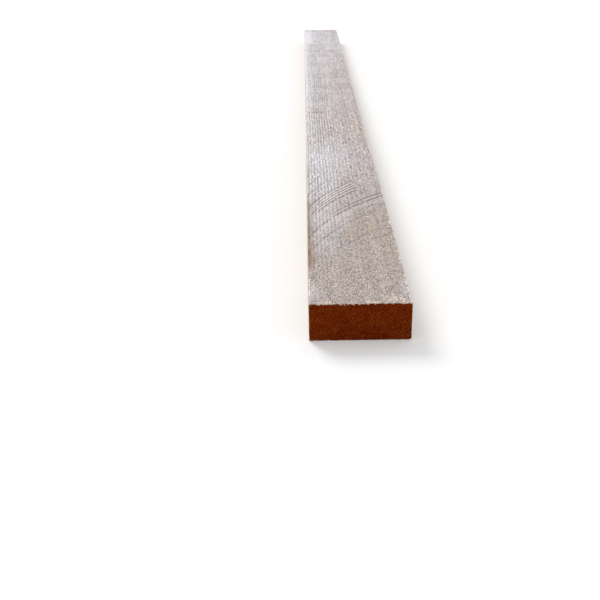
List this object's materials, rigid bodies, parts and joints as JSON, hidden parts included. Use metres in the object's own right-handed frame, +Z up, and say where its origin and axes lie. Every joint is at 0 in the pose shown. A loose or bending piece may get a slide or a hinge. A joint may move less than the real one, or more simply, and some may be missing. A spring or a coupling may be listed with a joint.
{
  "type": "sawn timber plank",
  "caption": "Straight rough-sawn softwood plank of plain rectangular section with square-cut ends and lightly eased long edges, stock for framing, decking and joinery.",
  "frame": {"origin": "centre of the underside, on the floor that the plank lies on", "axes": "+Z up through the thickness, +Y along the length, +X across the width"},
  "size_m": [0.1, 2, 0.04],
  "materials": {
    "sawn_wood": "rough sawn, woolly, greyed on its upper face, dark red-brown end grain"
  },
  "bodies": {
    "root": {"plank": "sawn_wood"}
  },
  "joints": []
}
